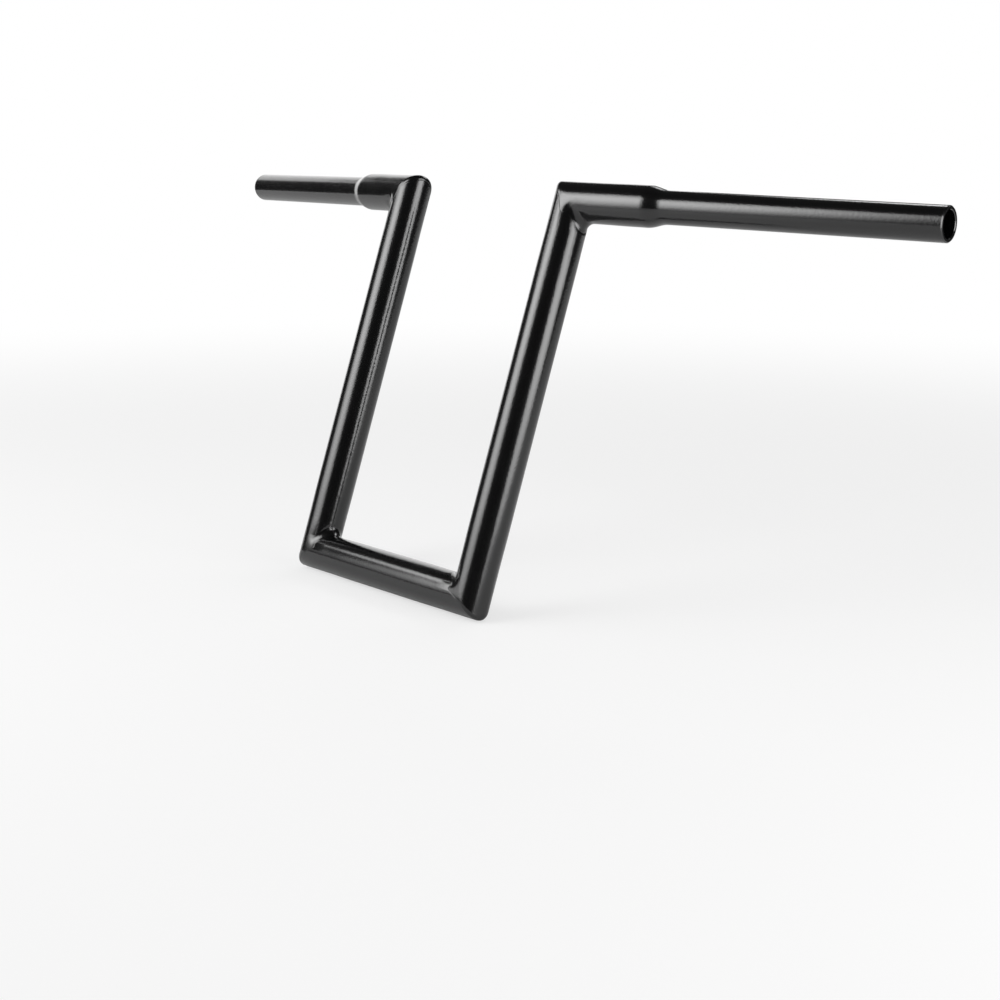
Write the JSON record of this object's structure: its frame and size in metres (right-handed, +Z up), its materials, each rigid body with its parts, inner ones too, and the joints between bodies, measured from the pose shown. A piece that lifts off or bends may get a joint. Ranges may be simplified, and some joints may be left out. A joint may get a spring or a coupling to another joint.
{
  "type": "ape hanger handlebar",
  "caption": "Tall motorcycle handlebar of thick round tube: a clamp tube below, uprights that lean back, crisp mitred and welded corners, and top tubes stepped down to control ends.",
  "frame": {"origin": "middle of the clamp tube, on its centre line", "axes": "+X along the clamp tube to the left side seen from the saddle, +Y back to the saddle, +Z up"},
  "size_m": [0.8138, 0.1902, 0.3296],
  "materials": {
    "gloss_black": "gloss black coat over ground steel tube"
  },
  "bodies": {
    "root": {"centre_tube": "gloss_black", "left_upright": "gloss_black", "right_upright": "gloss_black", "left_top_tube": "gloss_black", "right_top_tube": "gloss_black", "lower_left_weld": "gloss_black", "lower_right_weld": "gloss_black", "upper_left_weld": "gloss_black", "upper_right_weld": "gloss_black"}
  },
  "joints": []
}
